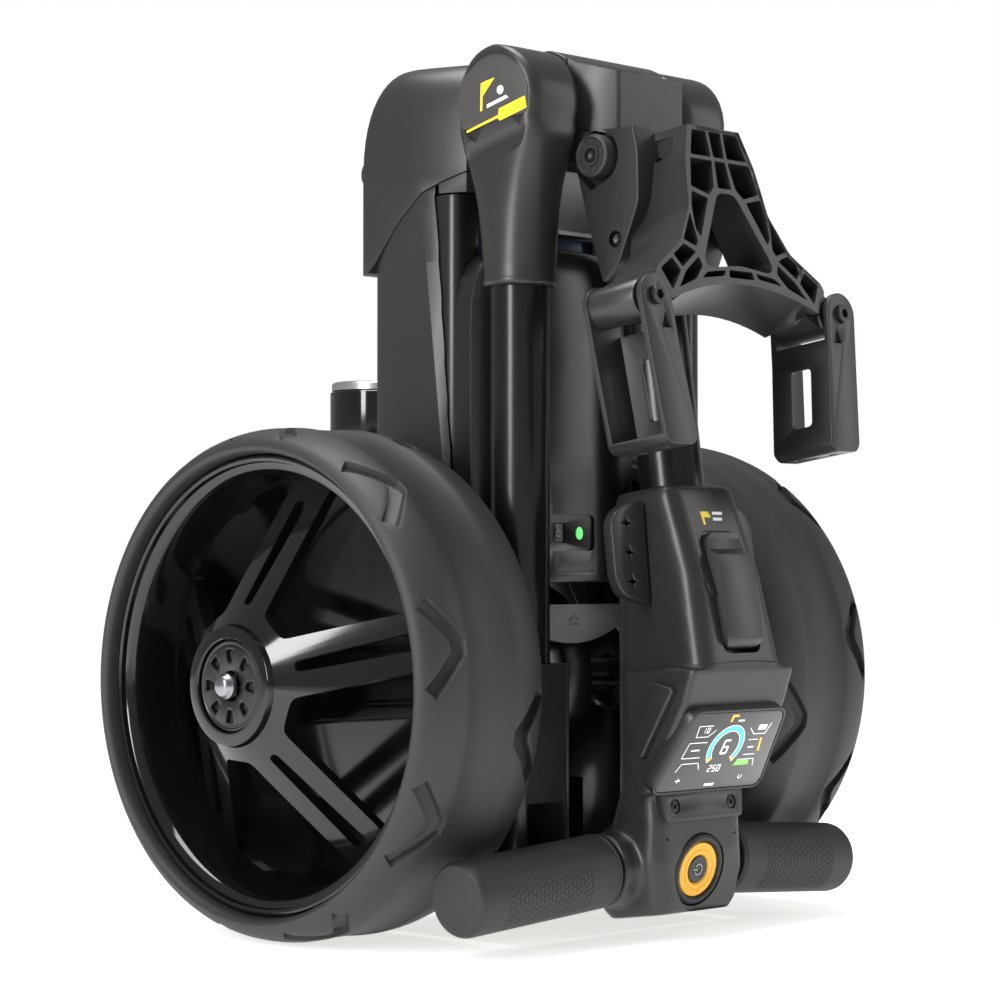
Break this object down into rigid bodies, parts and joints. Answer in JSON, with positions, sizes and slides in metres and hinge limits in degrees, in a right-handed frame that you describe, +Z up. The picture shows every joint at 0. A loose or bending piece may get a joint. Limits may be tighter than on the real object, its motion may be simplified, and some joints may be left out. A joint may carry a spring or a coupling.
{
  "type": "electric golf trolley",
  "caption": "Folded electric golf trolley standing on its drive wheels, with stem, bag bracket, handle with display and dial, battery body and folded front wheel.",
  "frame": {"origin": "on the ground under the middle of the drive axle, which is the bottom centre of the folded trolley's box", "axes": "+Z up, X along the drive axle, the handle side faces -Y"},
  "size_m": [0.43, 0.4316, 0.5098],
  "materials": {
    "satin_plastic": "satin charcoal moulding",
    "gloss_black": "piano black gloss",
    "tyre_rubber": "matt moulded rubber",
    "soft_rubber": "soft touch rubber",
    "tube_paint": "dark satin powder coat",
    "grey_plastic": "light grey moulding",
    "fleck_plastic": "grey plastic with metallic fleck",
    "steel": "plated and brushed",
    "bronze": "cut gear bronze",
    "screen": "dark display glass",
    "yellow_plastic": "yellow ring",
    "circuit_board": "printed circuit board"
  },
  "bodies": {
    "chassis": {"base_plate": "satin_plastic", "left_tube_socket": "satin_plastic", "right_tube_socket": "satin_plastic", "left_frame_tube": "tube_paint", "right_frame_tube": "tube_paint", "left_knuckle": "satin_plastic", "right_knuckle": "satin_plastic", "left_foot": "soft_rubber", "right_foot": "soft_rubber", "fold_pin": "steel", "gearbox_left_half": "satin_plastic", "gearbox_right_half": "satin_plastic", "motor_can": "gloss_black", "motor_end_cap": "steel", "rear_shell": "satin_plastic", "hood": "satin_plastic", "control_board": "circuit_board", "battery_case": "satin_plastic", "battery_cells": "grey_plastic", "battery_cover": "satin_plastic", "fork_pin": "steel"},
    "release_plate": {"release_plate": "fleck_plastic"},
    "power_button": {"power_button": "satin_plastic"},
    "axle": {"axle_shaft": "steel", "axle_gear": "bronze"},
    "idler": {"idler_gear": "steel"},
    "rotor": {"motor_rotor": "steel"},
    "left_wheel": {"left_tyre": "tyre_rubber", "left_rim": "gloss_black", "left_hub_cap": "satin_plastic", "left_hub_bolt": "steel"},
    "right_wheel": {"right_tyre": "tyre_rubber", "right_rim": "gloss_black", "right_hub_cap": "satin_plastic", "right_hub_bolt": "steel"},
    "stem": {"hinge_block": "satin_plastic", "left_bumper": "soft_rubber", "right_bumper": "soft_rubber", "stem_tube": "tube_paint", "bag_bracket": "satin_plastic", "left_arm_bolt": "steel", "right_arm_bolt": "steel"},
    "fold_latch": {"fold_latch": "grey_plastic"},
    "left_arm": {"left_bag_arm": "satin_plastic"},
    "right_arm": {"right_bag_arm": "satin_plastic"},
    "handle": {"handle_shell": "satin_plastic", "display_bezel": "satin_plastic", "display_glass": "screen", "left_grip": "soft_rubber", "right_grip": "soft_rubber", "left_accessory_mount": "satin_plastic", "right_accessory_mount": "satin_plastic"},
    "height_lever": {"height_lever": "satin_plastic"},
    "dial": {"dial_ring": "soft_rubber", "dial_yellow_ring": "yellow_plastic"},
    "dial_button": {"dial_button": "satin_plastic"},
    "fork": {"front_fork": "tube_paint", "front_axle": "steel"},
    "front_wheel": {"front_tyre": "tyre_rubber", "front_rim": "gloss_black"}
  },
  "joints": [
    {"name": "left_wheel_spin", "type": "hinge", "parent": "chassis", "child": "left_wheel", "pos_m": [-0.145, 0, 0.145], "axis": [1, 0, 0], "continuous": true},
    {"name": "right_wheel_spin", "type": "hinge", "parent": "chassis", "child": "right_wheel", "pos_m": [0.145, 0, 0.145], "axis": [1, 0, 0], "continuous": true},
    {"name": "axle_spin", "type": "hinge", "parent": "chassis", "child": "axle", "pos_m": [0, 0, 0.145], "axis": [1, 0, 0], "continuous": true},
    {"name": "idler_spin", "type": "hinge", "parent": "chassis", "child": "idler", "pos_m": [0, 0.055, 0.19], "axis": [1, 0, 0], "continuous": true},
    {"name": "rotor_spin", "type": "hinge", "parent": "chassis", "child": "rotor", "pos_m": [0, 0.1, 0.19], "axis": [0, 0, 1], "continuous": true},
    {"name": "stem_fold", "type": "hinge", "parent": "chassis", "child": "stem", "pos_m": [0, -0.085, 0.476], "axis": [-1, 0, 0], "range_deg": [0, 130]},
    {"name": "latch_swing", "type": "hinge", "parent": "stem", "child": "fold_latch", "pos_m": [0, -0.09455, 0.43897], "axis": [1, 0, 0], "range_deg": [0, 15], "stiffness_Nm_per_rad": 0.5, "springref_deg": -5.73},
    {"name": "left_arm_swing", "type": "hinge", "parent": "stem", "child": "left_arm", "pos_m": [-0.081, -0.20119, 0.35701], "axis": [0, 0.9903, -0.1392], "range_deg": [0, 70]},
    {"name": "right_arm_swing", "type": "hinge", "parent": "stem", "child": "right_arm", "pos_m": [0.081, -0.20119, 0.35701], "axis": [0, -0.9903, 0.1392], "range_deg": [0, 70]},
    {"name": "handle_height", "type": "slide", "parent": "stem", "child": "handle", "axis": [0, -0.1392, -0.9903], "range_m": [0, 0.08]},
    {"name": "lever_lift", "type": "hinge", "parent": "handle", "child": "height_lever", "pos_m": [0, -0.1944, 0.16823], "axis": [1, 0, 0], "range_deg": [0, 45]},
    {"name": "dial_turn", "type": "hinge", "parent": "handle", "child": "dial", "pos_m": [0, -0.16396, 0.03994], "axis": [0, -0.9781, -0.2079], "continuous": true},
    {"name": "dial_press", "type": "slide", "parent": "dial", "child": "dial_button", "axis": [0, 0.9781, 0.2079], "range_m": [0, 0.0015], "stiffness_N_per_m": 600, "springref_m": -0.0005},
    {"name": "release_pull", "type": "slide", "parent": "chassis", "child": "release_plate", "axis": [0, 0, 1], "range_m": [0, 0.006], "stiffness_N_per_m": 300, "springref_m": -0.002},
    {"name": "power_press", "type": "slide", "parent": "chassis", "child": "power_button", "axis": [0, 1, 0], "range_m": [0, 0.0012], "stiffness_N_per_m": 600, "springref_m": -0.0005},
    {"name": "fork_fold", "type": "hinge", "parent": "chassis", "child": "fork", "pos_m": [0, 0.047, 0.45], "axis": [1, 0, 0], "range_deg": [0, 165]},
    {"name": "front_wheel_spin", "type": "hinge", "parent": "fork", "child": "front_wheel", "pos_m": [0, 0.1358, 0.08], "axis": [1, 0, 0], "continuous": true}
  ],
  "couplings": [
    {"joint": "idler_spin", "follows": "axle_spin", "ratio": -4},
    {"joint": "rotor_spin", "follows": "axle_spin", "ratio": -12}
  ]
}
